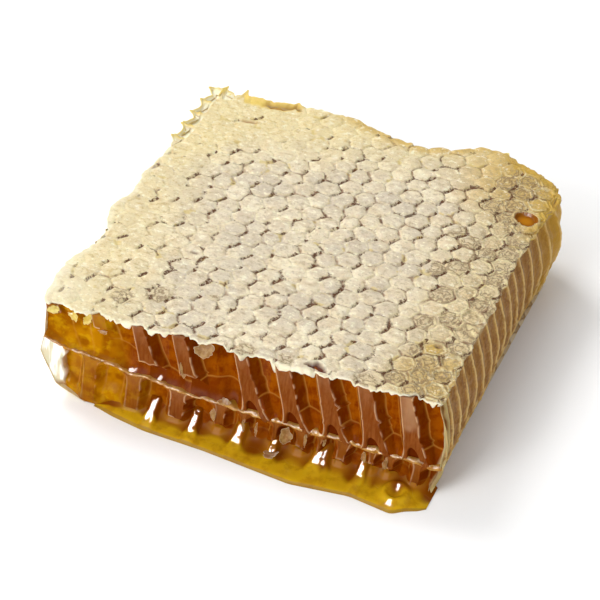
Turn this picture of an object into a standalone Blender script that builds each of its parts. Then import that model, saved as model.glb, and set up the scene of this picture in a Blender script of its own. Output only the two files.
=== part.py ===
"""A cut piece of capped honeycomb, lying on its underside, with honey run out along its cut face.

Blender 4.5, metres, +Z up. Two layers of hexagonal cells stand back to back on a shared midrib, and
a sheet of wax cappings closes each layer. +X runs along the cut face, +Y away from it. The origin
is the bottom centre of the whole piece.
"""
import math

import bmesh
import bpy
from mathutils import Matrix, Vector, noise

# Cell lattice: columns follow one another along X and cells along Y, with corners at +X and -X.
CELL_PITCH = 0.00533
CELL_CORNER = CELL_PITCH / math.sqrt(3.0)
COLUMN_STEP = 1.5 * CELL_CORNER
FIRST_COLUMN = Vector((-0.0462, -0.0212))
COLUMN_CONVERGENCE = 0.16
LATTICE_COLUMNS = range(-2, 21)
LATTICE_ROWS = range(-3, 22)
UNEVENNESS = 0.00022
UNEVENNESS_SPAN = 0.004

# Heights above the underside.
THICKNESS = 0.0250
TOP_CAPPING_THICKNESS = 0.0010
BOTTOM_CAPPING_THICKNESS = 0.0010
CAP_DOME = 0.00065
CAP_DOME_SPREAD = 0.00030
OPEN_CELL_DEPTH = 0.0006
MIDRIB_THICKNESS = 0.0009
MIDRIB_HEIGHT = 0.0145
MIDRIB_HEIGHT_AT_X = -0.0480
MIDRIB_FALL = 0.0862
JOINT_GAP = 0.0003

# Cells lean, and the two layers meet at the midrib as a shallow chevron that points to +X.
UPPER_LEAN = math.radians(9.0)
LOWER_LEAN = math.radians(6.0)

# The outline, seen from above: knife cuts in front and on the left, whole cells at the right and
# behind. The lower left edge is worn away in a slope.
FRONT_CUT_START = Vector((-0.0494, -0.0246))
FRONT_CUT_END = Vector((0.0391, -0.0206))
LEFT_CUT_X = -0.0508
WORN_EDGE_HEIGHT = 0.0095
WORN_EDGE_SLOPE = math.radians(28.0)
RIGHT_EDGE_X = 0.0400
BACK_EDGE = ((-0.060, 0.0720), (-0.012, 0.0740), (0.003, 0.0700), (0.020, 0.0775),
             (0.028, 0.0740), (0.036, 0.0660), (0.040, 0.0580))
KEPT_BEHIND_CUT = 0.0016
CUT_MARGIN = 0.0032
EDGE_MARGIN = 0.0020
OPEN_CELLS = ((0.0357, 0.0520), (0.0283, 0.0705))

# Honey that ran out along the foot of the cut face: how far it reaches forward, by X.
POOL_EDGE = ((-0.0370, -0.0246), (-0.0320, -0.0262), (-0.0240, -0.0277), (-0.0097, -0.0282),
             (0.0040, -0.0296), (0.0110, -0.0305), (0.0240, -0.0284), (0.0340, -0.0297),
             (0.0386, -0.0270), (0.0402, -0.0238))
POOL_LIP = 0.0003
POOL_HEIGHT = 0.0026
POOL_STEPS_ALONG = 44
POOL_STEPS_ACROSS = 6

WAX_CAPPING = ((0.74, 0.66, 0.48), 0.62)
WAX_MIDRIB = ((0.62, 0.44, 0.22), 0.55)
HONEY_IN_CELLS = ((0.46, 0.20, 0.03), 0.22)
HONEY_FREE = ((0.62, 0.38, 0.04), 0.08)

KNIFE_LENGTH = 0.30


def interpolate(knots, x):
    """Read a broken line of (x, y) knots at x, level beyond its ends."""
    if x <= knots[0][0]:
        return knots[0][1]
    for (x0, y0), (x1, y1) in zip(knots, knots[1:]):
        if x <= x1:
            return y0 + (y1 - y0) * (x - x0) / (x1 - x0)
    return knots[-1][1]


def front_cut_y(x):
    """The knife's line across the front, at x."""
    run = FRONT_CUT_END - FRONT_CUT_START
    return FRONT_CUT_START.y + run.y / run.x * (x - FRONT_CUT_START.x)


def midrib_height(x):
    """Height of the midrib's middle plane, which falls towards +X."""
    return MIDRIB_HEIGHT - MIDRIB_FALL * (x - MIDRIB_HEIGHT_AT_X)


def lattice(offset):
    """Every cell centre of one layer's lattice, moved by offset."""
    for column in LATTICE_COLUMNS:
        half_step = 0.5 * (column % 2)
        for row in LATTICE_ROWS:
            depth = (row + half_step) * CELL_PITCH
            step = COLUMN_STEP * (1.0 - COLUMN_CONVERGENCE * depth)
            yield FIRST_COLUMN + Vector((column * step, depth)) + offset


def cells_inside(offset, inset):
    """The cell centres that lie in the outline, at least inset behind the two cuts."""
    kept = []
    for centre in lattice(offset):
        in_front = centre.y < front_cut_y(centre.x) + inset
        beyond_left = centre.x < LEFT_CUT_X + inset
        behind = centre.y > interpolate(BACK_EDGE, centre.x) - EDGE_MARGIN
        beyond_right = centre.x > RIGHT_EDGE_X - EDGE_MARGIN
        if not (in_front or beyond_left or behind or beyond_right):
            kept.append(centre)
    return kept


def cell_sheet(centres, height):
    """A flat sheet of welded hexagons, one for each centre, with slightly uneven corners."""
    sheet = bmesh.new()
    for centre in centres:
        place = Matrix.Translation((centre.x, centre.y, height))
        bmesh.ops.create_circle(sheet, cap_ends=True, segments=6, radius=CELL_CORNER,
                                matrix=place @ Matrix.Rotation(math.pi / 6, 4, "Z"))
    bmesh.ops.remove_doubles(sheet, verts=sheet.verts, dist=CELL_PITCH / 50)
    for corner in sheet.verts:
        drift = noise.noise_vector(Vector((corner.co.x, corner.co.y, 0.0)) / UNEVENNESS_SPAN)
        corner.co.x += UNEVENNESS * drift.x
        corner.co.y += UNEVENNESS * drift.y
    return sheet


def thicken(sheet, move):
    """Extrude a sheet into a closed solid; move gives each copied corner its new place."""
    floor_faces = list(sheet.faces)
    copied = bmesh.ops.extrude_face_region(sheet, geom=floor_faces, use_keep_orig=True)["geom"]
    for item in copied:
        if isinstance(item, bmesh.types.BMVert):
            item.co = move(item.co)
    return floor_faces, [item for item in copied if isinstance(item, bmesh.types.BMFace)]


def lean_to_height(point, height, lean):
    """The place where a cell wall that leans towards +X as it falls passes a given height."""
    return Vector((point.x + (point.z - height) * math.tan(lean), point.y, height))


def lean_to_midrib(point, clearance):
    """The same, down to the sloping midrib, stopping clearance above its middle plane."""
    slope = math.tan(UPPER_LEAN)
    level = midrib_height(point.x) + clearance
    drop = (point.z - level) / (1.0 - MIDRIB_FALL * slope)
    return Vector((point.x + drop * slope, point.y, point.z - drop))


def finish(name, shape, look):
    """Turn a bmesh into a named object with its own material, in the honeycomb's collection."""
    bmesh.ops.recalc_face_normals(shape, faces=shape.faces)
    mesh = bpy.data.meshes.new(name)
    shape.to_mesh(mesh)
    shape.free()
    colour, roughness = look
    material = bpy.data.materials.new(name)
    material.use_nodes = True
    surface = material.node_tree.nodes["Principled BSDF"]
    surface.inputs["Base Color"].default_value = (*colour, 1.0)
    surface.inputs["Roughness"].default_value = roughness
    mesh.materials.append(material)
    piece = bpy.data.objects.new(name, mesh)
    parts.objects.link(piece)
    return piece


def knife(name, place, turn):
    """A cutter block whose near face, at its own y = 0, makes the cut; it fills the -Y side."""
    shape = bmesh.new()
    middle = Matrix.Translation((0.0, -KNIFE_LENGTH / 2, 0.0))
    bmesh.ops.create_cube(shape, size=KNIFE_LENGTH, matrix=middle)
    mesh = bpy.data.meshes.new(name)
    shape.to_mesh(mesh)
    shape.free()
    block = bpy.data.objects.new(name, mesh)
    block.location = place
    block.rotation_euler = turn
    block.hide_render = True
    block.display_type = "WIRE"
    cutters.objects.link(block)
    return block


def cut(piece, *blocks):
    """Cut a piece with each block in turn."""
    for block in blocks:
        saw = piece.modifiers.new(block.name, "BOOLEAN")
        saw.operation = "DIFFERENCE"
        saw.solver = "EXACT"
        saw.object = block


def make_top_capping():
    """The wax lid of the upper layer: a rimmed sheet with one low dome over each cell."""
    underside = THICKNESS - TOP_CAPPING_THICKNESS
    sheet = cell_sheet(cells_inside(Vector((0.0, 0.0)), -CUT_MARGIN), underside)
    rise = Vector((0.0, 0.0, TOP_CAPPING_THICKNESS))
    bottom, lids = thicken(sheet, lambda corner: corner + rise)
    domes = bmesh.ops.poke(sheet, faces=lids, offset=0.0, center_mode="MEAN")["verts"]
    for crown in domes:
        spread = noise.noise(crown.co / UNEVENNESS_SPAN)
        crown.co.z += CAP_DOME + CAP_DOME_SPREAD * spread
    for x, y in OPEN_CELLS:
        crown = min(domes, key=lambda dome: (dome.co.xy - Vector((x, y))).length)
        crown.co.z = THICKNESS - OPEN_CELL_DEPTH
    bmesh.ops.dissolve_faces(sheet, faces=bottom)
    return finish("capping_top", sheet, WAX_CAPPING)


def make_upper_cells():
    """The honey-filled cells above the midrib, with half cells left open along the cut."""
    ceiling = THICKNESS - TOP_CAPPING_THICKNESS - JOINT_GAP
    sheet = cell_sheet(cells_inside(Vector((0.0, 0.0)), KEPT_BEHIND_CUT), ceiling)
    bmesh.ops.dissolve_faces(sheet, faces=sheet.faces)
    clearance = MIDRIB_THICKNESS / 2 + JOINT_GAP
    thicken(sheet, lambda corner: lean_to_midrib(corner, clearance))
    return finish("comb_upper", sheet, HONEY_IN_CELLS)


def make_midrib():
    """The wax wall between the two layers, as wide as the upper cells where they reach it."""
    ceiling = THICKNESS - TOP_CAPPING_THICKNESS - JOINT_GAP
    sheet = cell_sheet(cells_inside(Vector((0.0, 0.0)), -CUT_MARGIN), ceiling)
    bmesh.ops.dissolve_faces(sheet, faces=sheet.faces)
    for corner in sheet.verts:
        corner.co = lean_to_midrib(corner.co, MIDRIB_THICKNESS / 2)
    thicken(sheet, lambda corner: corner - Vector((0.0, 0.0, MIDRIB_THICKNESS)))
    return finish("midrib", sheet, WAX_MIDRIB)


def lower_outline(inset):
    """The lower layer's sheet, half a cell out of step with the upper one, at the midrib."""
    out_of_step = Vector((-CELL_CORNER / 2, CELL_PITCH / 2))
    sheet = cell_sheet(cells_inside(out_of_step, inset), 0.0)
    bmesh.ops.dissolve_faces(sheet, faces=sheet.faces)
    ceiling = THICKNESS - TOP_CAPPING_THICKNESS - JOINT_GAP
    clearance = MIDRIB_THICKNESS / 2 + JOINT_GAP
    for corner in sheet.verts:
        corner.co = lean_to_midrib(Vector((corner.co.x, corner.co.y, ceiling)), -clearance)
    return sheet


def make_lower_cells():
    """The honey-filled cells below the midrib, which lean the other way."""
    sheet = lower_outline(KEPT_BEHIND_CUT)
    floor_height = BOTTOM_CAPPING_THICKNESS + JOINT_GAP
    thicken(sheet, lambda corner: lean_to_height(corner, floor_height, -LOWER_LEAN))
    return finish("comb_lower", sheet, HONEY_IN_CELLS)


def make_bottom_capping():
    """The wax lid of the lower layer, pressed flat by the piece's own weight."""
    sheet = lower_outline(-CUT_MARGIN)
    for corner in sheet.verts:
        corner.co = lean_to_height(corner.co, BOTTOM_CAPPING_THICKNESS, -LOWER_LEAN)
    thicken(sheet, lambda corner: Vector((corner.x, corner.y, 0.0)))
    return finish("capping_bottom", sheet, WAX_CAPPING)


def make_honey_pool():
    """Honey run out over the surface: a round lip in front, rising to the foot of the cut."""
    sheet = bmesh.new()
    bmesh.ops.create_grid(sheet, x_segments=POOL_STEPS_ALONG, y_segments=POOL_STEPS_ACROSS, size=1.0)
    first_x, last_x = POOL_EDGE[0][0], POOL_EDGE[-1][0]
    for point in sheet.verts:
        along = 0.5 + 0.5 * point.co.x
        across = 0.5 + 0.5 * point.co.y
        x = first_x + (last_x - first_x) * along
        lip_y = interpolate(POOL_EDGE, x)
        foot_y = front_cut_y(x) - JOINT_GAP
        rise = math.sqrt(1.0 - (1.0 - across) ** 2)
        taper = math.sin(math.pi * min(1.0, 4.0 * min(along, 1.0 - along) + 0.1) / 2)
        height = POOL_LIP + (POOL_HEIGHT - POOL_LIP) * rise * taper
        point.co = Vector((x, lip_y + (foot_y - lip_y) * across, height))
    top, underside = thicken(sheet, lambda point: Vector((point.x, point.y, 0.0)))
    bmesh.ops.dissolve_faces(sheet, faces=underside)
    return finish("honey_pool", sheet, HONEY_FREE)


def move_to_origin(pieces):
    """Shift every piece so that the origin is the bottom centre of the whole."""
    bpy.context.view_layer.update()
    scene_state = bpy.context.evaluated_depsgraph_get()
    corners = [Vector(corner) for piece in pieces for corner in piece.evaluated_get(scene_state).bound_box]
    low = Vector(min(corner[axis] for corner in corners) for axis in range(3))
    high = Vector(max(corner[axis] for corner in corners) for axis in range(3))
    shift = Vector((-(low.x + high.x) / 2, -(low.y + high.y) / 2, -low.z))
    for item in list(parts.objects) + list(cutters.objects):
        item.location += shift


for leftover in list(bpy.data.objects):
    bpy.data.objects.remove(leftover)
parts = bpy.data.collections.new("honeycomb_piece")
cutters = bpy.data.collections.new("cutters")
bpy.context.scene.collection.children.link(parts)
bpy.context.scene.collection.children.link(cutters)

front_run = FRONT_CUT_END - FRONT_CUT_START
front_knife = knife("front_knife", (*FRONT_CUT_START, THICKNESS / 2),
                    (0.0, 0.0, math.atan2(front_run.y, front_run.x)))
left_knife = knife("left_knife", (LEFT_CUT_X, 0.0, THICKNESS / 2), (0.0, 0.0, -math.pi / 2))
worn_edge = knife("worn_edge", (LEFT_CUT_X, 0.0, WORN_EDGE_HEIGHT), (WORN_EDGE_SLOPE, 0.0, -math.pi / 2))

layers = [make_top_capping(), make_upper_cells(), make_midrib(), make_lower_cells(), make_bottom_capping()]
for layer in layers:
    cut(layer, front_knife, left_knife, worn_edge)
pool = make_honey_pool()
move_to_origin(layers + [pool])
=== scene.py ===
import math

import bmesh
import bpy
import numpy as np
from mathutils import Matrix, Vector


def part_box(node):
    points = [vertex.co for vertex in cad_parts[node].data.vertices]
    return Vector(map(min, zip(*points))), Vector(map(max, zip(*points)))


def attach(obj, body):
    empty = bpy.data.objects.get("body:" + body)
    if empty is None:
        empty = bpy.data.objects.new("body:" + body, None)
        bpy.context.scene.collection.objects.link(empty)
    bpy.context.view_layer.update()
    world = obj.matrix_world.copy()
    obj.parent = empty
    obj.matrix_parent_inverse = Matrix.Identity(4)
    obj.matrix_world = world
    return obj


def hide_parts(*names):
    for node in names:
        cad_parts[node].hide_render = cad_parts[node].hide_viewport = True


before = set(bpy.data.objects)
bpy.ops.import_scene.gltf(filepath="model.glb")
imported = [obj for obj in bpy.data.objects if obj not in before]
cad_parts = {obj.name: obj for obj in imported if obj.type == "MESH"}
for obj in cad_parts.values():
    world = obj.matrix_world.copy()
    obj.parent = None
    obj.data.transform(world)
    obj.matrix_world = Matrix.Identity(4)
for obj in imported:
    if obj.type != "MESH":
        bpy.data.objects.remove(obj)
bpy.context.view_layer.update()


# ---- The cell lattice ----
# Bees build two layers of hexagonal wax cells back to back. Columns of cells follow one another
# along the cut front face and cells follow one another to the back. All lengths are millimetres.

def corners_mm(node):
    """A node's lowest and highest corner, in millimetres."""
    low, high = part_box(node)
    return 1000.0 * np.array(low), 1000.0 * np.array(high)


comb_low, comb_high = corners_mm("capping_top")
floor_low, floor_high = corners_mm("capping_bottom")
pool_low, pool_high = corners_mm("honey_pool")
PITCH = 5.33
SIDE = PITCH / math.sqrt(3.0)
COLUMN = 1.5 * SIDE
FIRST_X = comb_low[0] + 4.63
FIRST_Y = comb_low[1] + 3.44
CONVERGENCE = 0.00016
CUT_SLOPE = 0.0452
TOP = 25.0


def cut_y(x):
    """The knife's straight line across the front, seen from above."""
    return comb_low[1] + CUT_SLOPE * (x - comb_low[0])


def toss(a, b, salt):
    """A fixed random number from 0 to 1 for each pair a, b: the fraction of a large sine."""
    return np.abs(np.sin(a * 127.1 + b * 311.7 + salt * 74.7) * 43758.5453) % 1.0


def hills(x, y, span, salt):
    """Smooth random hills from -1 to 1: random heights at the corners of a square mesh of width
    span, joined by the curve 3t^2 - 2t^3 along both sides."""
    u, v = np.asarray(x) / span, np.asarray(y) / span
    i, j = np.floor(u), np.floor(v)
    s, t = u - i, v - j
    s, t = s * s * (3 - 2 * s), t * t * (3 - 2 * t)
    near = toss(i, j, salt) * (1 - s) + toss(i + 1, j, salt) * s
    far = toss(i, j + 1, salt) * (1 - s) + toss(i + 1, j + 1, salt) * s
    return 2 * (near * (1 - t) + far * t) - 1


def step(low, high, value):
    """A smooth step: 0 below low, 1 above high, 3t^2 - 2t^3 between."""
    t = np.clip((value - low) / (high - low), 0.0, 1.0)
    return t * t * (3 - 2 * t)


def bump_at(distance, width):
    """A round bump, exp(-(distance / width)^2)."""
    return np.exp(-(distance / width) ** 2)


def lattice(x, y):
    """Column and row numbers as running values: columns close up a little towards the back, and
    smooth hills push the whole pattern about so that no two cells are quite alike."""
    bent_x = x + 0.55 * hills(x, y, 7.0, 12) + 0.42 * hills(x, y, 2.9, 3)
    bent_y = y + 0.55 * hills(x, y, 7.0, 13) + 0.42 * hills(x, y, 2.9, 4)
    back = bent_y - FIRST_Y
    return (bent_x - FIRST_X) / (COLUMN * (1 - CONVERGENCE * back)), back / PITCH


def hexagon(u, v):
    """For each point, its cell's column and row, the way from the cell's middle, the distance in
    from the cell's edge and the distance to its nearest corner. Even and odd columns are two
    plain square-on patterns; the nearer middle of the two wins."""
    even = 2 * np.round(u / 2), np.round(v)
    odd = 2 * np.round((u - 1) / 2) + 1, np.round(v - 0.5) + 0.5
    even_first = (((u - even[0]) * COLUMN) ** 2 + ((v - even[1]) * PITCH) ** 2
                  < ((u - odd[0]) * COLUMN) ** 2 + ((v - odd[1]) * PITCH) ** 2)
    column, row = np.where(even_first, even[0], odd[0]), np.where(even_first, even[1], odd[1])
    dx, dy = (u - column) * COLUMN, (v - row) * PITCH
    inward = PITCH / 2 - np.maximum(np.abs(dy), math.cos(math.pi / 6) * np.abs(dx) + 0.5 * np.abs(dy))
    corner = np.minimum(np.hypot(np.abs(dx) - SIDE, dy),
                        np.hypot(np.abs(dx) - SIDE / 2, np.abs(dy) - PITCH / 2))
    return column, row, dx, dy, inward, corner


# ---- Cappings ----
# The bees close each full cell with a thin lid of new wax. The lids touch and run together in a
# wrinkled, softly domed sheet, with narrow seams and small hollows where the cells meet.

def surface(name, x, y, z, weld=False, inward=False, **marks):
    """A mesh through a grid of points given in millimetres, one face for each square of the grid.
    weld joins points that lie on one another, at a tip or along a seam; inward turns the faces
    over; marks become a number at each point."""
    rows, across = x.shape
    number = np.arange(rows * across).reshape(rows, across)
    quads = np.stack([number[:-1, :-1], number[:-1, 1:], number[1:, 1:], number[1:, :-1]], axis=-1)
    quads = quads.reshape(-1, 4)
    if inward:
        quads = quads[:, ::-1]
    mesh = bpy.data.meshes.new(name)
    mesh.vertices.add(x.size)
    mesh.loops.add(quads.size)
    mesh.polygons.add(len(quads))
    places = np.stack([x, y, z], axis=-1).astype(np.float32) / 1000.0
    mesh.vertices.foreach_set("co", places.ravel())
    mesh.loops.foreach_set("vertex_index", quads.astype(np.int32).ravel())
    mesh.polygons.foreach_set("loop_start", np.arange(0, quads.size, 4, dtype=np.int32))
    mesh.update(calc_edges=True)
    mesh.shade_smooth()
    for mark, values in marks.items():
        layer = mesh.attributes.new(mark, "FLOAT", "POINT")
        layer.data.foreach_set("value", np.broadcast_to(values, x.shape).astype(np.float32).ravel())
    if weld:
        joined = bmesh.new()
        joined.from_mesh(mesh)
        bmesh.ops.remove_doubles(joined, verts=joined.verts, dist=1e-7)
        joined.to_mesh(mesh)
        joined.free()
    piece = bpy.data.objects.new(name, mesh)
    bpy.context.scene.collection.objects.link(piece)
    return piece


def wet_where(piece, gloss, damp, wet):
    """Two materials on one piece: wet on the faces whose first corner has gloss over 0.3, else damp."""
    piece.data.materials.append(damp)
    piece.data.materials.append(wet)
    chosen = (gloss[:-1, :-1] > 0.3).astype(np.int32)
    piece.data.polygons.foreach_set("material_index", chosen.ravel())


BACK_X = np.array([-46.5, -40, -31, -24, -16, -10, -5, 0, 8, 12, 17, 22, 27, 32, 37, 41, 43.4, 44.8])
BACK_Y = np.array([46.3, 46.4, 47.0, 48.6, 49.4, 49.4, 48.3, 46.2, 45.3, 46.0, 48.1, 51.3, 52.3, 49.3,
                   47.2, 43.8, 40.0, 35.4])
LEFT_Y = np.array([-48.4, -46.9, -40, -33, -30, -27, -24, -19, -16.6, -14.6, -10, -6.9, -3.5, 1.6, 6.6,
                   9.8, 14, 48])
LEFT_X = np.array([-44.6, -46.1, -46.8, -47.0, -46.2, -45.2, -44.3, -43.9, -44.8, -46.0, -47.0, -46.3,
                   -45.0, -45.4, -46.1, -45.4, -45.2, -45.0])


def back_edge(x):
    """The comb's natural back edge seen from above, a broken line."""
    return np.interp(x, BACK_X, BACK_Y)


RIGHT_Y = np.array([-44.05, -31.0, -12.5, 1.5, 15.0, 28.0, 35.0])
RIGHT_X = np.array([43.9, 43.3, 43.4, 42.9, 42.5, 43.1, 44.2])


def right_edge(y):
    """The right side from above: a broken line, with each cell's corner standing out a little."""
    return np.interp(y, RIGHT_Y, RIGHT_X) + 0.5 * np.abs(((y - FIRST_Y) / PITCH) % 1.0 - 0.5)


LID_ROWS, LID_ACROSS, LID_RIM = 312, 288, 4
RIM_DROP = np.array([0.0, 0.16, 0.38, 0.58, 0.75])
RIM_INSET = np.array([0.0, -0.05, 0.05, 0.30, 0.80])
HONEY_CELL = (39.4, 28.6, 2.70)

along, across = np.meshgrid(np.linspace(0, 1, LID_ROWS), np.linspace(0, 1, LID_ACROSS), indexing="ij")
lid_x = comb_low[0] + across * (43.0 - comb_low[0])
lobes = 1 - np.abs(np.cos(math.pi * (lid_x - FIRST_X) / (2 * COLUMN)))
ragged = 1.6 - 0.9 * step(-5.0, 15.0, lid_x)
front = cut_y(lid_x) - 0.10 + 0.40 * hills(lid_x, 0 * lid_x, 0.6, 5) + 0.35 * hills(lid_x, 0 * lid_x, 2.3, 6)
front += ragged * (lobes - 0.45) * step(-46.0, -40.0, lid_x) * -1.0 + 0.45 * hills(lid_x, 0 * lid_x, 6.1, 25)
front += 1.7 * bump_at(lid_x - 37.4, 1.7)
back = back_edge(lid_x) + 0.35 * hills(lid_x, 0 * lid_x, 3.1, 7) + 0.35 * hills(lid_x, 0 * lid_x, 1.1, 8)
back += 1.7 * bump_at(lid_x + 42.7, 0.5) + 1.9 * bump_at(lid_x + 37.5, 0.5) + 0.8 * bump_at(lid_x + 24.4, 0.5)
lid_y = front + along * (back - front)
bays = np.abs(np.sin(math.pi * (lid_y - 40.3) / 5.7)) ** 0.8
fringe_zone = step(19.0, 22.5, lid_y)
torn_left = np.interp(lid_y, LEFT_Y, LEFT_X) - comb_low[0] + 0.30 * hills(lid_y, 0 * lid_y, 1.2, 10)
torn_left -= fringe_zone * (1.7 * (1 - bays) - 0.1)
fit_right = right_edge(lid_y) - 43.0 + 0.40 * hills(lid_y, 0 * lid_y, 2.6, 11) + 0.25 * hills(lid_y, 0 * lid_y, 1.0, 9)
lid_x = lid_x + torn_left * step(0.06, 0.0, across) + fit_right * step(0.90, 1.0, across)

lid_u, lid_v = lattice(lid_x, lid_y)
column, row, dx, dy, inward, corner = hexagon(lid_u, lid_v)
to_right = step(-30.0, 25.0, lid_x + 0.25 * lid_y)
plain = np.clip(step(26.0, 46.0, lid_y - 0.3 * lid_x) + step(-34.0, -46.0, lid_x), 0, 1)
line = step(-0.25, 0.55, hills(lid_x, lid_y, 3.4, 14) + 0.85 * to_right - 0.25 - 0.5 * plain)
slope = math.cos(math.pi / 6) * dx - 0.5 * dy
slanting = step(-0.3, 0.7, np.abs(slope) - np.maximum(np.abs(slope + dy), np.abs(dy)))
pit = step(-0.15, 0.25, hills(lid_x, lid_y, 3.3, 15) + 0.20 - 0.7 * plain)
pillow = 1 - np.clip(1 - inward / 2.3, 0, 1) ** 2
crown = (0.16 + 0.12 * to_right) * (0.4 + 1.2 * toss(column, 2 * row, 17))
lean = ((toss(column, 2 * row, 18) - 0.5) * dx + (toss(column, 2 * row, 19) - 0.6) * dy) * pillow
lid_z = TOP - 0.25 + crown * pillow + 0.07 * lean + 0.30 * hills(lid_x, lid_y, 22.0, 20)
lid_z += 0.09 * hills(lid_x, lid_y * 2.2, 1.9, 21) + 0.06 * hills(lid_x, lid_y, 0.8, 22)
sunk = step(26.0, 40.0, lid_x + 2.5 * hills(lid_x, lid_y, 5.0, 24)) * (0.4 + toss(column, 2 * row, 26))
lid_z -= (0.08 + 0.18 * line * (1 - sunk)) * bump_at(inward, 0.30) + 0.45 * pit * slanting * bump_at(inward, 0.35)
lid_z += sunk * (0.30 * bump_at(inward - 0.25, 0.28) - 0.35 * pillow - 0.22 * bump_at(inward - 1.0, 0.3))
lid_z += 0.16 * sunk * hills(lid_x, lid_y, 0.75, 27)
from_left = across * (43.0 - comb_low[0])
from_back = back - lid_y
rim_band = np.minimum(from_left + 30.0 * (1 - fringe_zone), from_back + 30.0 * step(-40.0, -38.0, lid_x))
walls = np.where(from_left < from_back, 1 - bays, np.abs(np.cos(math.pi * (lid_x + 42.7) / 6.2)) ** 6)
open_cells = step(3.6, 3.0, rim_band + 0.5 * hills(lid_x, lid_y, 2.0, 28))
fringe = open_cells * np.clip(bump_at(rim_band - 0.15, 0.30) + step(0.68, 0.92, walls), 0, 1)
lid_z += open_cells * (0.35 * fringe - 0.55 * (1 - fringe))
slit = np.exp(-((lid_x + 32.2) / 2.0) ** 2 - ((lid_y - 36.8 - 0.25 * (lid_x + 32.2)) / 0.45) ** 2)
ridge_zone = step(-39.0, -37.0, lid_x) * step(-22.0, -24.0, lid_x)
ditch = bump_at(from_back - 1.7, 0.6) * step(-33.0, -30.0, lid_x)
lid_z += ridge_zone * (0.7 * bump_at(from_back - 0.5, 0.6) - 0.8 * ditch) - 0.7 * slit

cell_x, cell_y = lid_x - HONEY_CELL[0], lid_y - HONEY_CELL[1]
off = np.hypot(0.906 * cell_x - 0.423 * cell_y, 1.16 * (0.423 * cell_x + 0.906 * cell_y))
honey = step(HONEY_CELL[2] + 0.1, HONEY_CELL[2] - 0.25, off)
lid_z = lid_z * (1 - honey) + (TOP - 1.0) * honey + 0.25 * bump_at(off - HONEY_CELL[2] - 0.40, 0.45)
lip = bump_at(off - HONEY_CELL[2] - 0.45, 0.28)
from_front = lid_y - front
flap = bump_at(lid_x - 15.8, 3.0)
gap = flap * bump_at(from_front - 1.9, 1.0)
hole = np.maximum(step(0.40, 0.6, gap), bump_at(np.hypot(lid_x + 23.0, 1.6 * (lid_y + 17.8)), 0.75))
hole = np.maximum(hole, bump_at(np.hypot(lid_x - 36.8, 1.5 * (lid_y + 25.5)), 0.70))
lid_z -= 0.8 * hole
lid_z += 0.60 * step(0.3, 0.8, flap) * bump_at(from_front - 3.0, 0.5)
pale_lip = step(0.3, 0.8, flap) * bump_at(from_front - 3.0, 0.5)
pale_edge = 0.7 * step(1.8, 0.3, from_left + 0.8 * hills(lid_x, lid_y, 1.4, 33)) * (1 - fringe_zone)
pale_edge += 0.5 * bump_at(np.hypot(lid_x + 44.5, lid_y + 43.0), 7.0)


def ring_number(count):
    """0 on the sheet itself and 1, 2, 3... outwards on the rim at both ends."""
    place = np.arange(-LID_RIM, count + LID_RIM)
    return np.maximum(np.maximum(-place, place - count + 1), 0)


def with_rim(values):
    """Repeat a grid's outermost points outwards, for the rim that folds down round the sheet."""
    return np.pad(values, LID_RIM, mode="edge")


ring_y, ring_x = ring_number(LID_ROWS), ring_number(LID_ACROSS)
ring = np.maximum(ring_y[:, None], ring_x[None, :])
half_rows = np.where(np.arange(LID_ROWS + 2 * LID_RIM) < LID_ROWS / 2, 1.0, -1.0)
half_across = np.where(np.arange(LID_ACROSS + 2 * LID_RIM) < LID_ACROSS / 2, 1.0, -1.0)
rim_x = with_rim(lid_x) + (RIM_INSET[ring_x] * half_across)[None, :]
rim_y = with_rim(lid_y) + (RIM_INSET[ring_y] * half_rows)[:, None]
hang = 1 + 2.2 * step(0.4, 0.9, hills(lid_x[0], 0 * lid_x[0], 2.2, 29)) * step(-44.0, -40.0, lid_x[0])
hang += 2.0 * bump_at(lid_x[0] + 20.8, 0.9) + 1.4 * bump_at(lid_x[0] - 7.4, 0.8)
rim_z = with_rim(lid_z) - RIM_DROP[ring] * np.where(half_rows[:, None] > 0, np.pad(hang, LID_RIM, mode="edge"), 1.0)

left_glow = step(-22.0, -44.0, lid_x + 0.15 * lid_y)
back_glow = step(22.0, 50.0, lid_y - 0.35 * lid_x)
right_wet = step(18.0, 40.0, lid_x + 3.0 * hills(lid_x, lid_y, 6.0, 23))
corner_gold = step(34.0, 8.0, np.hypot(lid_x - 44.0, lid_y - 46.0))
corner_gold = np.maximum(corner_gold, 0.8 * step(4.5, 0.5, back - lid_y) * step(-16.0, -8.0, lid_x))
from_edge = np.minimum(back - lid_y, (1 - across) * (43.0 - comb_low[0]))
edge_gold = step(3.4, 1.6, from_edge + 0.5 * hills(lid_x, lid_y, 2.4, 31)) * step(24.0, 14.0, np.hypot(lid_x - 44.0, lid_y - 42.0))
front_gold = 0.8 * step(14.0, 4.0, np.hypot(lid_x - 40.0, lid_y + 36.0)) + bump_at(np.hypot(lid_x - 36.0, lid_y + 26.5), 2.2)
damp = np.zeros_like(lid_x)
for damp_x, damp_y, reach in ((-30.7, -39.5, 2.6), (-24.2, -35.2, 2.8), (-13.1, -31.0, 1.2), (0.1, -45.2, 2.4),
                              (8.7, -44.2, 2.0), (26.6, -43.5, 2.6), (-5.0, -46.8, 2.2), (38.0, 38.0, 1.6),
                              (41.0, -17.0, 2.4), (40.5, -5.0, 2.5), (41.0, 8.0, 2.4), (40.5, 18.0, 2.6)):
    damp = np.maximum(damp, step(reach + 0.7, reach - 0.7, np.hypot(lid_x - damp_x, lid_y - damp_y)))

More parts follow.
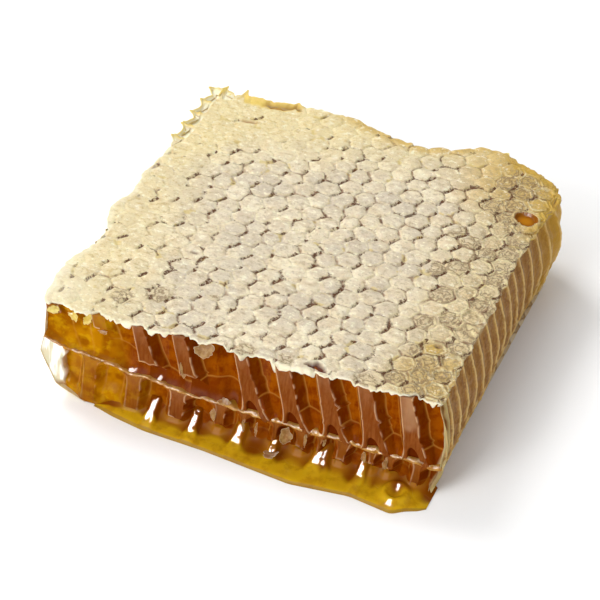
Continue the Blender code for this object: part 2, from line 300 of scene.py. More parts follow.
cappings = surface(
    "cappings", rim_x, rim_y, rim_z, u=with_rim(lid_u), v=with_rim(lid_v), line=with_rim(line),
    pit=with_rim(pit), yellow=with_rim(np.clip(0.8 * left_glow + back_glow, 0, 1)),
    amber=with_rim(right_wet), gold=with_rim(np.clip(corner_gold + front_gold, 0, 1)), damp=with_rim(damp),
    honey=with_rim(step(HONEY_CELL[2] + 0.35, HONEY_CELL[2] + 0.15, off)), lip=with_rim(lip), hole=with_rim(hole),
    sunk=with_rim(np.clip(sunk, 0, 1)), fringe=with_rim(fringe), open=with_rim(open_cells), edge=with_rim(edge_gold),
    slit=with_rim(np.clip(slit + 0.8 * ridge_zone * ditch, 0, 1)),
    ridge=np.clip(with_rim(ridge_zone * step(3.4, 2.4, from_back)) + step(0.5, 2.0, ring) * (half_rows[:, None] < 0), 0, 1),
    deep=with_rim(step(0.2, 0.9, off / HONEY_CELL[2])),
    torn=np.clip(step(0.5, 2.0, ring) * (half_rows[:, None] > 0) + with_rim(pale_lip + step(0.55, 0.05, from_front) + pale_edge), 0, 1))


def finish_of(name):
    """A new material with its node tree emptied down to one Principled shader."""
    material = bpy.data.materials.new(name)
    material.use_nodes = True
    return material, material.node_tree, material.node_tree.nodes["Principled BSDF"]


def feed(tree, socket, value):
    """Put a number or colour on a socket, or link another node's output to it."""
    if isinstance(value, bpy.types.NodeSocket):
        tree.links.new(value, socket)
    else:
        socket.default_value = value


def mark(tree, name):
    """The number that a mesh holds at each point under this name."""
    node = tree.nodes.new("ShaderNodeAttribute")
    node.attribute_name = name
    return node.outputs["Fac"]


def grain(tree, size, detail=3.0, stretch=(1.0, 1.0, 1.0), roughness=0.6):
    """Noise from 0 to 1 whose lumps measure size millimetres, drawn out where stretch is over 1."""
    place = tree.nodes.new("ShaderNodeTexCoord")
    turn = tree.nodes.new("ShaderNodeMapping")
    turn.inputs["Scale"].default_value = [1000.0 / (size * s) for s in stretch]
    noise = tree.nodes.new("ShaderNodeTexNoise")
    noise.inputs["Scale"].default_value = 1.0
    noise.inputs["Detail"].default_value = detail
    noise.inputs["Roughness"].default_value = roughness
    tree.links.new(place.outputs["Object"], turn.inputs["Vector"])
    tree.links.new(turn.outputs["Vector"], noise.inputs["Vector"])
    return noise.outputs["Fac"]


def ramp(tree, value, low, high, low_out=0.0, high_out=1.0):
    """A smooth change from low_out to high_out while value goes from low to high."""
    node = tree.nodes.new("ShaderNodeMapRange")
    node.interpolation_type = "SMOOTHSTEP"
    for name, number in (("From Min", low), ("From Max", high), ("To Min", low_out), ("To Max", high_out)):
        node.inputs[name].default_value = number
    feed(tree, node.inputs["Value"], value)
    return node.outputs["Result"]


def sums(tree, kind, a, b):
    """One arithmetic step between two numbers. PLUS adds; ADD adds and stays between 0 and 1."""
    node = tree.nodes.new("ShaderNodeMath")
    node.operation = "ADD" if kind == "PLUS" else kind
    node.use_clamp = kind == "ADD"
    feed(tree, node.inputs[0], a)
    feed(tree, node.inputs[1], b)
    return node.outputs[0]


def blend(tree, share, first, second, kind="MIX"):
    """Mix two colours by share."""
    node = tree.nodes.new("ShaderNodeMix")
    node.data_type = "RGBA"
    node.blend_type = kind
    feed(tree, node.inputs["Factor"], share)
    feed(tree, node.inputs[6], first if isinstance(first, bpy.types.NodeSocket) else (*first, 1.0))
    feed(tree, node.inputs[7], second if isinstance(second, bpy.types.NodeSocket) else (*second, 1.0))
    return node.outputs[2]


def relief(tree, height, depth, strength=1.0):
    """Bump of the given depth in millimetres."""
    node = tree.nodes.new("ShaderNodeBump")
    node.inputs["Strength"].default_value = strength
    node.inputs["Distance"].default_value = depth / 1000.0
    feed(tree, node.inputs["Height"], height)
    return node.outputs["Normal"]


def hexagon_nodes(tree):
    """The same hexagon sums as above, worked out by the shader from the running column and row
    numbers: distance in from the edge, distance to the corner, distance from the middle, a random
    number for each cell, and how squarely the point faces a cell's right front or left back side."""
    def part(number, shift, half):
        """Nearest column or row of one pattern."""
        scaled = sums(tree, "MULTIPLY", sums(tree, "SUBTRACT", number, shift), half)
        nearest = sums(tree, "ROUND", scaled, 0.0)
        return sums(tree, "PLUS", sums(tree, "DIVIDE", nearest, half), shift)

    u, v = mark(tree, "u"), mark(tree, "v")
    ways = []
    for shift_u, shift_v in ((0.0, 0.0), (1.0, 0.5)):
        column, row = part(u, shift_u, 0.5), part(v, shift_v, 1.0)
        dx = sums(tree, "MULTIPLY", sums(tree, "SUBTRACT", u, column), COLUMN)
        dy = sums(tree, "MULTIPLY", sums(tree, "SUBTRACT", v, row), PITCH)
        far = sums(tree, "PLUS", sums(tree, "MULTIPLY", dx, dx), sums(tree, "MULTIPLY", dy, dy))
        ways.append((column, row, dx, dy, far))
    odd_first = sums(tree, "GREATER_THAN", ways[0][4], ways[1][4])

    def choose(index):
        """The even or the odd pattern's value, whichever cell is nearer."""
        gap = sums(tree, "SUBTRACT", ways[1][index], ways[0][index])
        return sums(tree, "PLUS", ways[0][index], sums(tree, "MULTIPLY", gap, odd_first))

    column, row, dx, dy, far = (choose(index) for index in range(5))
    same_sign = sums(tree, "MULTIPLY", dx, dy)
    dx, dy = sums(tree, "ABSOLUTE", dx, 0.0), sums(tree, "ABSOLUTE", dy, 0.0)
    slant = sums(tree, "PLUS", sums(tree, "MULTIPLY", dx, math.cos(math.pi / 6)), sums(tree, "MULTIPLY", dy, 0.5))
    inward = sums(tree, "SUBTRACT", PITCH / 2, sums(tree, "MAXIMUM", dy, slant))
    slanting = sums(tree, "MULTIPLY", sums(tree, "SUBTRACT", slant, dy), ramp(tree, same_sign, 0.1, -0.1))
    corners = []
    for corner_x, corner_y in ((SIDE, 0.0), (SIDE / 2, PITCH / 2)):
        across = sums(tree, "SUBTRACT", dx, corner_x)
        ahead = sums(tree, "SUBTRACT", dy, corner_y)
        square = sums(tree, "PLUS", sums(tree, "MULTIPLY", across, across), sums(tree, "MULTIPLY", ahead, ahead))
        corners.append(sums(tree, "SQRT", square, 0.0))
    chance = tree.nodes.new("ShaderNodeTexWhiteNoise")
    chance.noise_dimensions = "2D"
    place = tree.nodes.new("ShaderNodeCombineXYZ")
    feed(tree, place.inputs["X"], column)
    feed(tree, place.inputs["Y"], row)
    tree.links.new(place.outputs["Vector"], chance.inputs["Vector"])
    corner = sums(tree, "MINIMUM", *corners)
    return inward, corner, sums(tree, "SQRT", far, 0.0), chance.outputs["Value"], slanting


def capping_finish():
    """Dry cream beeswax: mottled and wrinkled, yellower at the edges, thin brown seams, painted shade as dark hooks in
    the hollows at the lids' right front corners, and brown lids where honey has soaked through, with painted shade in
    their ring grooves and curls."""
    material, tree, wax = finish_of("cream_capping_wax")
    inward, corner, middle, chance, slanting = hexagon_nodes(tree)
    amber, gold, yellow = mark(tree, "amber"), mark(tree, "gold"), mark(tree, "yellow")
    fine = grain(tree, 0.50, 4.0, (1.1, 1.0, 1.0), 0.75)
    wrinkle = grain(tree, 1.3, 5.0, (1.2, 0.9, 1.0), 0.75)
    blotch = grain(tree, 2.6, 3.0)
    cream, grey, pale = (0.73, 0.60, 0.405), (0.64, 0.55, 0.42), (0.88, 0.78, 0.57)
    colour = blend(tree, ramp(tree, blotch, 0.35, 0.65), cream, pale)
    colour = blend(tree, ramp(tree, grain(tree, 9.0, 2.0), 0.42, 0.62, 0.0, 0.75), colour, grey)
    colour = blend(tree, ramp(tree, chance, 0.0, 1.0, 0.0, 0.40), colour, grey)
    colour = blend(tree, sums(tree, "MULTIPLY", yellow, 0.65), colour, (0.84, 0.69, 0.32))
    colour = blend(tree, sums(tree, "MULTIPLY", amber, 0.50), colour, (0.82, 0.63, 0.29))
    colour = blend(tree, sums(tree, "MULTIPLY", gold, 0.90), colour, (0.62, 0.385, 0.045))
    tan = blend(tree, yellow, (0.45, 0.35, 0.22), (0.60, 0.42, 0.15))
    colour = blend(tree, ramp(tree, wrinkle, 0.54, 0.62, 0.0, 0.62), colour, tan)
    colour = blend(tree, ramp(tree, wrinkle, 0.45, 0.37, 0.0, 0.80), colour, (0.96, 0.90, 0.68))
    colour = blend(tree, ramp(tree, fine, 0.56, 0.64, 0.0, 0.50), colour, (0.45, 0.35, 0.22))
    wavy = sums(tree, "PLUS", inward, ramp(tree, blotch, 0.3, 0.7, -0.22, 0.22))
    rim = sums(tree, "MULTIPLY", ramp(tree, wavy, 0.20, 0.42), ramp(tree, wavy, 0.85, 0.55))
    rim = sums(tree, "MULTIPLY", rim, sums(tree, "MAXIMUM", amber, 0.25))
    colour = blend(tree, sums(tree, "MULTIPLY", rim, 0.85), colour, (0.86, 0.76, 0.44))
    stains = sums(tree, "MULTIPLY", ramp(tree, grain(tree, 4.6, 2.0), 0.62, 0.67), ramp(tree, wavy, 0.9, 0.3))
    colour = blend(tree, sums(tree, "MULTIPLY", stains, 0.6), colour, (0.66, 0.50, 0.16))
    level = sums(tree, "PLUS", chance, sums(tree, "MULTIPLY", amber, 0.50))
    wet = sums(tree, "MAXIMUM", ramp(tree, level, 1.05, 1.08), mark(tree, "damp"))
    wet = sums(tree, "MAXIMUM", wet, sums(tree, "MULTIPLY", mark(tree, "sunk"), 0.5))
    # Painted shade: on soaked lids, dark brown bands in the ring grooves inside the rim and nearer the middle.
    bent = sums(tree, "PLUS", inward, ramp(tree, grain(tree, 1.6, 4.0), 0.3, 0.7, -0.75, 0.75))
    ring_groove_shade = sums(tree, "MULTIPLY", ramp(tree, bent, 0.30, 0.60), ramp(tree, bent, 1.25, 0.80))
    inner_ring = sums(tree, "MULTIPLY", ramp(tree, bent, 1.55, 1.75), ramp(tree, bent, 2.20, 1.95))
    ring_groove_shade = sums(tree, "MAXIMUM", ring_groove_shade, inner_ring)
    colour = blend(tree, sums(tree, "MULTIPLY", wet, 0.35), colour, (0.66, 0.51, 0.27))
    colour = blend(tree, sums(tree, "MULTIPLY", sums(tree, "MULTIPLY", wet, ring_groove_shade), 0.68), colour, (0.27, 0.17, 0.085))
    # Painted shade: dark brown strokes for the shadows of curled wax on soaked lids and at the golden corners.
    curl = ramp(tree, grain(tree, 1.5, 5.0, (1.0, 1.0, 1.0), 0.8), 0.51, 0.58)
    curl = sums(tree, "MULTIPLY", sums(tree, "MULTIPLY", curl, sums(tree, "ADD", mark(tree, "sunk"), gold)), 0.34)
    colour = blend(tree, curl, colour, (0.30, 0.19, 0.085))
    patchy = ramp(tree, grain(tree, 1.7, 3.0), 0.40, 0.56)
    seam = sums(tree, "MULTIPLY", ramp(tree, wavy, 0.20, 0.03), mark(tree, "line"))
    seam = sums(tree, "MULTIPLY", seam, ramp(tree, patchy, 0.0, 1.0, 0.20, 0.75))
    # Painted shade: dark hooks in the hollows at each lid's right front corner, the corner turned away from the lamp
    # high at the left.
    jitter = ramp(tree, grain(tree, 0.9, 4.0, (1.0, 1.0, 1.0), 0.8), 0.3, 0.7, -0.60, 0.60)
    thin = sums(tree, "SUBTRACT", inward, ramp(tree, corner, 1.3, 0.5, 0.0, 0.22))
    hook_shade = ramp(tree, sums(tree, "PLUS", thin, jitter), 0.34, 0.16)
    bends = ramp(tree, grain(tree, 3.7, 2.0), 0.35, 0.65, -0.9, 0.9)
    hook_shade = sums(tree, "MULTIPLY", hook_shade, ramp(tree, sums(tree, "PLUS", slanting, sums(tree, "PLUS", bends, jitter)), 0.25, 0.85))
    hook_shade = sums(tree, "MULTIPLY", hook_shade, ramp(tree, mark(tree, "pit"), 0.30, 0.60))
    dark = sums(tree, "MAXIMUM", seam, hook_shade)
    colour = blend(tree, sums(tree, "MULTIPLY", seam, 0.95), colour, (0.27, 0.150, 0.075))
    # The painted shade of the corner hollows.
    colour = blend(tree, sums(tree, "MULTIPLY", hook_shade, 0.95), colour, (0.150, 0.056, 0.022))
    colour = blend(tree, sums(tree, "MULTIPLY", mark(tree, "edge"), 0.8), colour, (0.60, 0.37, 0.045))
    colour = blend(tree, mark(tree, "open"), colour, (0.90, 0.84, 0.62))
    colour = blend(tree, mark(tree, "fringe"), colour, (0.78, 0.58, 0.14))
    colour = blend(tree, sums(tree, "MULTIPLY", mark(tree, "ridge"), 0.8), colour, (0.78, 0.56, 0.10))
    colour = blend(tree, mark(tree, "slit"), colour, (0.36, 0.15, 0.025))
    colour = blend(tree, sums(tree, "MULTIPLY", mark(tree, "torn"), 0.85), colour, (0.96, 0.89, 0.66))
    colour = blend(tree, mark(tree, "lip"), colour, (0.80, 0.62, 0.30))
    # Painted shade: the honey in the open cell darkens towards the cell's wall.
    cup = blend(tree, mark(tree, "deep"), (0.46, 0.175, 0.003), (0.27, 0.085, 0.002))
    colour = blend(tree, mark(tree, "honey"), colour, cup)
    colour = blend(tree, mark(tree, "hole"), colour, (0.12, 0.022, 0.004))
    feed(tree, wax.inputs["Base Color"], colour)
    feed(tree, wax.inputs["Roughness"], ramp(tree, mark(tree, "honey"), 0.2, 0.8, 0.70, 0.32))
    wax.inputs["Specular IOR Level"].default_value = 0.05
    wax.inputs["Subsurface Weight"].default_value = 0.20
    wax.inputs["Subsurface Radius"].default_value = (0.0012, 0.0008, 0.0004)
    wax.inputs["Subsurface Scale"].default_value = 1.0
    height = sums(tree, "PLUS", sums(tree, "MULTIPLY", wrinkle, 1.2), sums(tree, "MULTIPLY", fine, 0.5))
    height = sums(tree, "SUBTRACT", height, sums(tree, "MULTIPLY", dark, 0.8))
    height = sums(tree, "PLUS", height, sums(tree, "MULTIPLY", rim, 0.4))
    height = sums(tree, "SUBTRACT", height, sums(tree, "MULTIPLY", sums(tree, "MULTIPLY", wet, ring_groove_shade), 0.9))
    calm = sums(tree, "MULTIPLY", height, ramp(tree, mark(tree, "honey"), 0.2, 0.8, 1.0, 0.0))
    feed(tree, wax.inputs["Normal"], relief(tree, calm, 0.30, 0.8))
    return material


cappings.data.materials.append(capping_finish())
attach(cappings, "root")
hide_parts("capping_top")


# ---- The cut face ----
# The knife went straight through a row of cells. Where it met a wall face on, a strip of thin wax
# stands in the cut; between the strips the half cells lie open, wet with their honey.

def midrib_z(x):
    """Height of the shared wall along the cut: it falls in a curve towards the right, and wanders."""
    wander = 0.40 * hills(x, 0 * x, 3.6, 82) + 0.16 * hills(x, 0 * x, 1.1, 83)
    return 7.4 + 7.4 * np.exp(-(x + 44.3) / 30.0) + wander


def left_end(z):
    """Where the comb's left side stands at each height: fullest at the midrib, worn away below."""
    return np.interp(z, [0.0, 0.6, 2.0, 3.0, 5.2, 9.0, 11.0, 13.5, 16.0, 25.0],
                     [-34.8, -36.4, -40.1, -42.3, -43.4, -45.3, -46.2, -45.7, -45.2, -44.8])


def right_end(z):
    """The right side, swelling out to the midrib and drawing back in below it."""
    return np.interp(z, [0.0, 4.0, 8.6, 14.0, 19.0, 25.0], [43.8, 45.2, 46.0, 46.1, 45.4, 43.9])


def legs(x):
    """1 where the foot of an upper wall crosses the midrib's edge, 0 elsewhere."""
    places = np.array([-9.2, 5.4, 14.6, 23.6, 32.5, 41.2])
    return np.max(bump_at(np.asarray(x)[..., None] - places, 0.75), axis=-1)


def cut_face(name, shape, strips, halves, lengths, widen, lean, top_z, bottom_z, salt, upper):
    """One layer's cut face. The first grid direction follows the cut, the second runs down the
    cells. The distance to the nearest strip's outline gives the depth behind the cut: 0 on the
    strip, then slanting to half a cell. Honey fills the foot of each open cell in a curve."""
    across, down = np.meshgrid(np.linspace(0, 1, shape[0]), np.linspace(0, 1, shape[1]), indexing="ij")
    rough_x = -45.0 + 90.0 * across
    z = top_z(rough_x) - (top_z(rough_x) - bottom_z(rough_x)) * down
    x = left_end(z) + across * (right_end(z) - left_end(z))
    fall = top_z(rough_x) - z
    rise = np.maximum(z - bottom_z(rough_x) - 0.5 * upper * legs(rough_x), 0.0)
    start = x - fall * np.tan(np.radians(lean(x)))
    to_left, to_right, outline = np.full(x.shape, 9.0), np.full(x.shape, 9.0), np.full(x.shape, 9.0)
    arch = np.zeros(x.shape)
    whole = np.zeros(x.shape)
    flare = upper * 0.9 * np.exp(-rise / 1.5) + (1 - upper) * 0.8 * np.exp(-np.maximum(fall, 0) / 0.8)
    for number, (middle, half, length) in enumerate(zip(strips, halves, lengths)):
        aside = start - middle
        burrs = 1.1 * np.clip(hills(z, 0 * z + number * 7.3, 1.0, salt), -0.1, 1) ** 3
        teeth = burrs + 0.40 * hills(z, 0 * z + number * 5.1, 3.6, salt + 1)
        reach = np.where(aside > 0, half + widen * fall + teeth * (fall > 0.5), half + 0.2 * teeth)
        off = np.abs(aside) - reach - flare
        to_left = np.where(aside > 0, np.minimum(to_left, off), to_left)
        to_right = np.where(aside <= 0, np.minimum(to_right, off), to_right)
        end = fall - length - 0.5 * hills(start, 0 * start, 1.2, salt + 2)
        off = np.maximum(off, 0.8 * end)
        outline = np.minimum(outline, off)
        if upper and length > 12:
            foot = np.hypot((aside + 0.25 - 0.4 * widen * fall) / (half + 0.15), rise / 3.4)
            arch = np.maximum(arch, step(1.08, 0.90, foot))
    side = np.clip(to_left, 0.01, 9) / (np.clip(to_left, 0.01, 9) + np.clip(to_right, 0.01, 9))
    strip = step(0.06, -0.06, outline)
    depth = np.clip(outline / (SIDE / 2), 0, 1) * PITCH / 2
    gulf = FIRST_X + 7.9 * COLUMN
    depth += upper * 1.8 * bump_at(start - gulf, 2.4)
    gap = np.clip(0.5 * (np.clip(to_left, 0, 9) + np.clip(to_right, 0, 9)), 0.3, 9)
    off_centre = np.clip(0.5 * np.abs(to_left - to_right) / gap, 0, 1)
    arch_top = 0.45 + 2.4 * (1 - np.sqrt(1 - off_centre ** 2)) + 0.25 * hills(start, 0 * start, 1.3, salt + 12)
    web = (1 - upper) * step(0.35, -0.35, fall - arch_top) * (1 - strip)
    round_top = np.sqrt(np.clip(1 - np.clip(1 - (fall - arch_top) / 2.2, 0, 1) ** 2, 0, 1))
    depth = depth * np.where(upper > 0, 1.0, 0.15 + 0.85 * round_top)
    left = step(-24.0 + 9.0 * (1 - upper), -33.0 + 3.0 * (1 - upper), x)
    crest = 4.9 + 1.3 * hills(start, 0 * start, 9.0, salt + 6) + 1.5 * left - 1.2 * (1 - upper)
    crest = crest - 0.9 * (side - 0.35) ** 2 / 0.2
    under = np.clip(crest - rise, 0, 20)
    honey = step(0.0, 0.35, under) * (1 - strip)
    filled = depth - 0.9 * (1 - np.exp(-under / 1.3)) * step(0, 1.2, depth)
    foot_curve = np.exp(-(rise / (1.1 + 0.5 * left + 0.9 * (1 - upper))) ** 1.4)
    filled = filled - np.maximum(filled - 0.30, 0) * foot_curve
    cells = 0.5 + 0.42 * hills(x, z, 2.6, salt + 7) + 0.25 * hills(x, z, 1.2, salt + 11)
    lumps = 0.9 * (0.5 - cells)
    swollen = 0.75 + 0.8 * left * lumps + 0.15 * np.clip(outline, 0, 2)
    bulge = left * step(0.3, 2.6, under + 6.0 * upper)
    filled = filled * (1 - bulge) + np.minimum(filled, swollen) * bulge
    depth = np.where(strip > 0.5, depth, filled)
    soaked = (1 - upper) * step(-12.0, 2.0, x)
    depth = depth + 0.9 * arch + 0.25 * soaked * strip - 0.35 * upper * legs(rough_x) * step(0.9, 0.2, rise)
    ridge = bump_at(outline - 0.02, 0.13) * (1 - arch)
    depth = depth - 0.20 * ridge + 0.05 * hills(start, z, 1.1, salt + 4) * (0.3 + 0.7 * strip)
    empty = (1 - upper) * step(-40.6, -41.0, x + 0.5 * hills(z, 0 * z, 1.9, 77)) * step(2.0, 4.5, z)
    y = cut_y(x) + np.maximum(depth, -0.3) * (1 - empty) + 0.5 * empty
    y[:, 0] += 3.2
    z[:, 0] -= 0.7 * upper
    pale_left = ridge * (side > 0.5) * step(-0.9, 0.1, hills(z, 0 * z + np.round(start / 9.2), 2.3, salt + 5))
    pale_right = ridge * (side <= 0.5) * step(-0.2, 0.5, hills(z, 0 * z + np.round(start / 9.2), 1.3, salt + 5))
    crease = (bump_at(to_left - SIDE / 2, 0.16) + bump_at(to_right - SIDE / 2, 0.16)) * (1 - honey) * (1 - strip)
    level = bump_at(crest - rise - 0.12, 0.14) * (1 - strip) * (1 - left) * (1 - 0.7 * (1 - upper))
    places = np.array([-25.0, -18.6, 4.6]) if upper else np.array([-38.6])
    gloss = np.max(bump_at(x[..., None] - places, 1.3 - 0.4 * upper), axis=-1)
    threads = (bump_at(to_left - SIDE / 2, 0.22) + bump_at(to_right - SIDE / 2, 0.22)) * (1 - strip)
    leaf = upper * strip * bump_at(x - 37.6, 2.6) * step(10.0, 6.0, fall + 1.5 * hills(x, z, 1.5, salt + 13))
    # side runs from 0 at an open cell's left wall to 1 at its right wall; the finish paints shade with it.
    marks = dict(
        wax=np.maximum(strip * (1 - arch), 0.55 * web), pale=np.clip(pale_left + 0.8 * pale_right + 0.30 * leaf, 0, 1) * (1 - 0.35 * soaked) * (1 - 0.7 * left * (1 - upper)), arch=arch,
        crease=np.clip(crease + level + 0.45 * left * threads, 0, 1), honey=honey, gold=left, cells=cells,
        side=np.clip(side, 0, 1), down=down, soaked=soaked, foot=step(3.2, 0.6, z) * (1 - upper),
        border=step(1.5, 0.5, right_end(z) - x + 0.4 * hills(z, 0 * z, 1.7, salt + 10)),
        empty=empty, gloss=gloss)
    return surface(name, x, y, z, **marks), gloss


def cut_face_finish(name, shine):
    """Tan wax strips with pale torn edges, between cells wet with amber honey, with painted shade on each open cell's
    left wall.
    """
    material, tree, wax = finish_of(name)
    streaks = grain(tree, 0.55, 4.0, (1.0, 1.0, 7.0), 0.65)
    blotch = grain(tree, 2.4, 3.0)
    down = mark(tree, "down")
    strip = blend(tree, ramp(tree, streaks, 0.30, 0.70), (0.168, 0.040, 0.005), (0.252, 0.075, 0.016))
    strip = blend(tree, ramp(tree, down, 0.45, 0.0, 0.0, 0.45), strip, (0.32, 0.135, 0.055))
    strip = blend(tree, ramp(tree, blotch, 0.45, 0.70, 0.0, 0.6), strip, (0.20, 0.048, 0.006))
    amber = blend(tree, ramp(tree, blotch, 0.35, 0.65), (0.205, 0.033, 0.0003), (0.33, 0.078, 0.0006))
    amber = blend(tree, ramp(tree, streaks, 0.50, 0.75, 0.0, 0.35), amber, (0.44, 0.15, 0.006))
    # Painted shade: each open cell darkens towards its left wall, which faces away from the lamp high at the left.
    amber = blend(tree, ramp(tree, mark(tree, "side"), 0.45, 0.0, 0.0, 0.70), amber, (0.12, 0.016, 0.0005))
    amber = blend(tree, ramp(tree, mark(tree, "honey"), 0.0, 1.0, 0.0, 0.4), amber, (0.20, 0.036, 0.0005))
    amber = blend(tree, sums(tree, "MULTIPLY", mark(tree, "foot"), 0.6), amber, (0.34, 0.105, 0.001))
    gold = blend(tree, ramp(tree, mark(tree, "cells"), 0.25, 0.75), (0.29, 0.088, 0.0006), (0.44, 0.175, 0.001))
    gold = blend(tree, ramp(tree, blotch, 0.45, 0.65, 0.0, 0.6), gold, (0.56, 0.30, 0.003))
    amber = blend(tree, mark(tree, "gold"), amber, gold)
    strip = blend(tree, sums(tree, "MULTIPLY", mark(tree, "gold"), 0.55), strip, gold)
    strip = blend(tree, sums(tree, "MULTIPLY", mark(tree, "soaked"), 0.55), strip, (0.27, 0.080, 0.006))
    colour = blend(tree, mark(tree, "wax"), amber, strip)
    colour = blend(tree, mark(tree, "arch"), colour, (0.115, 0.016, 0.0008))
    colour = blend(tree, sums(tree, "MULTIPLY", mark(tree, "crease"), 0.60), colour, (0.52, 0.23, 0.035))
    colour = blend(tree, sums(tree, "MULTIPLY", mark(tree, "border"), 0.85), colour, (0.72, 0.60, 0.28))
    # Empty cells at the lower left: pale clear wax, with painted light making it near white.
    clear = blend(tree, ramp(tree, grain(tree, 1.5, 2.0, (1.0, 1.0, 6.0)), 0.46, 0.56), (0.97, 0.96, 0.88), (0.70, 0.64, 0.44))
    colour = blend(tree, sums(tree, "MULTIPLY", mark(tree, "empty"), 0.95), colour, clear)
    colour = blend(tree, mark(tree, "pale"), colour, (0.66, 0.42, 0.23))
    feed(tree, wax.inputs["Base Color"], colour)
    matt = sums(tree, "MAXIMUM", mark(tree, "wax"), ramp(tree, mark(tree, "gloss"), 0.2, 0.6, 1.0, 0.0))
    feed(tree, wax.inputs["Roughness"], ramp(tree, matt, 0.0, 1.0, 0.04, 0.36))
    wax.inputs["Specular IOR Level"].default_value = shine
    wax.inputs["Subsurface Weight"].default_value = 0.15
    wax.inputs["Subsurface Radius"].default_value = (0.0025, 0.0010, 0.0002)
    wax.inputs["Subsurface Scale"].default_value = 1.0
    dry = ramp(tree, mark(tree, "wax"), 0.0, 1.0, 0.15, 1.0)
    feed(tree, wax.inputs["Normal"], relief(tree, sums(tree, "MULTIPLY", streaks, dry), 0.1, 0.5))
    return material


damp_cut, wet_cut = cut_face_finish("cut_cells_wax", 0.003), cut_face_finish("cut_cells_honey", 0.05)
upper_cut, upper_gloss = cut_face(
    "upper_cut_cells", (760, 110),
    FIRST_X - 0.08 * SIDE + COLUMN * np.array([-0.3, 2, 4, 6, 9, 11, 13, 15, 17]), np.full(9, 0.42 * SIDE),
    np.array([2.0, 3.0, 9.0, 10.0, 40, 40, 40, 40, 40]), 0.115,
    lambda x: 12.5 - 3.5 * step(8.0, 43.0, x),
    lambda x: TOP - 0.45 + 0 * x, lambda x: midrib_z(x) - 0.5 * legs(x), 30, 1)
lower_strips = np.array([-43.9, -34.2, -24.1, -14.0, -4.0, 1.3, 8.6, 14.6, 18.8, 23.8, 30.6, 34.5, 40.6])
lower_halves = np.array([1.3, 1.5, 1.5, 1.3, 0.8, 0.35, 0.25, 0.9, 0.25, 0.8, 0.5, 0.55, 0.7])
lower_cut, lower_gloss = cut_face(
    "lower_cut_cells", (700, 64), lower_strips, lower_halves,
    np.array([30, 30, 30, 8.0, 5.5, 2.6, 4.5, 5.0, 5.5, 5.5, 3.0, 3.5, 30.0]), 0.03,
    lambda x: -(3.0 + 3.5 * step(-40.0, 30.0, x)),
    lambda x: midrib_z(x), lambda x: 0.15 + 0 * x, 50, 0)
for face, gloss, node in ((upper_cut, upper_gloss, "comb_upper"), (lower_cut, lower_gloss, "comb_lower")):
    wet_where(face, gloss, damp_cut, wet_cut)
    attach(face, "root")
    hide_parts(node)


# ---- Outer cell walls ----
# At the right, behind and at the left the comb ends in whole cells, whose outer walls stand in
# flutes of dry tan wax. They lean as the cells do, out to the midrib and back in below it.

SIDE_KNOTS = np.array([
    [43.9, -44.05], [43.3, -31.0], [43.4, -12.5], [42.9, 1.5], [42.5, 15.0], [43.1, 28.0], [44.2, 35.0],
    [43.4, 40.8], [40.6, 44.8], [36.0, 47.8], [31.0, 49.6], [27.0, 51.6], [22.0, 50.6], [17.0, 47.3],
    [12.0, 45.2], [6.0, 44.6], [0.0, 45.4], [-5.0, 47.5], [-12.0, 48.4], [-20.0, 48.0], [-30.0, 46.2],
    [-38.0, 45.6], [-44.6, 45.4], [-44.8, 20.0], [-44.8, -10.0], [-44.8, -47.9]])


def round_the_sides(samples):
    """A path round the three uncut sides, from the right front corner to the left: broken lines
    through the knots, read at even steps and smoothed, with the outward direction at each step."""
    run = np.concatenate([[0.0], np.cumsum(np.hypot(*np.diff(SIDE_KNOTS, axis=0).T))])
    along_path = np.linspace(0, run[-1], samples)
    x = np.interp(along_path, run, SIDE_KNOTS[:, 0])
    y = np.interp(along_path, run, SIDE_KNOTS[:, 1])
    soften = np.hanning(41) / np.hanning(41).sum()
    x = np.convolve(np.pad(x, 20, mode="reflect", reflect_type="odd"), soften, "valid")
    y = np.convolve(np.pad(y, 20, mode="reflect", reflect_type="odd"), soften, "valid")
    dx, dy = np.gradient(x), np.gradient(y)
    length = np.hypot(dx, dy)
    return along_path, x, y, dy / length, -dx / length


